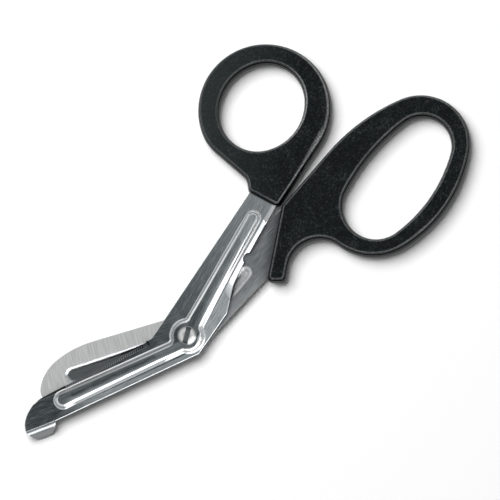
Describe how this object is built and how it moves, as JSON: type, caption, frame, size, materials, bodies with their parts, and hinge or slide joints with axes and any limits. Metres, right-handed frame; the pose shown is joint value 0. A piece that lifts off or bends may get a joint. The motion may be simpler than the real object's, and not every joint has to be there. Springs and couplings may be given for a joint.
{
  "type": "bandage scissors",
  "caption": "Angled bandage scissors: beaded steel blades, a folded blunt foot at the lower tip, a slotted pivot screw, and a moulded thumb ring and finger loop.",
  "frame": {"origin": "on the pivot axis, at the level of the table that the scissors lie on", "axes": "+X from the blades to the handles, +Y to the thumb ring side, +Z along the pivot axis, up from the table to the screw head"},
  "size_m": [0.1927, 0.0944, 0.008],
  "materials": {
    "footed_blade_steel": "fine lengthwise brushing, ground edge",
    "round_blade_steel": "ground inner face, lines across the edge",
    "ring_plastic": "satin, fine grain",
    "loop_plastic": "satin, fine grain",
    "screw_steel": "turned and polished",
    "nut_steel": "turned"
  },
  "bodies": {
    "lower_half": {"round_blade": "round_blade_steel", "finger_loop": "loop_plastic", "pivot_screw": "screw_steel", "pivot_nut": "nut_steel"},
    "upper_half": {"footed_blade": "footed_blade_steel", "thumb_ring": "ring_plastic"}
  },
  "joints": [
    {"name": "pivot", "type": "hinge", "parent": "lower_half", "child": "upper_half", "pos_m": [0, 0, 0.004], "axis": [0, 0, 1], "range_deg": [0, 90]}
  ]
}
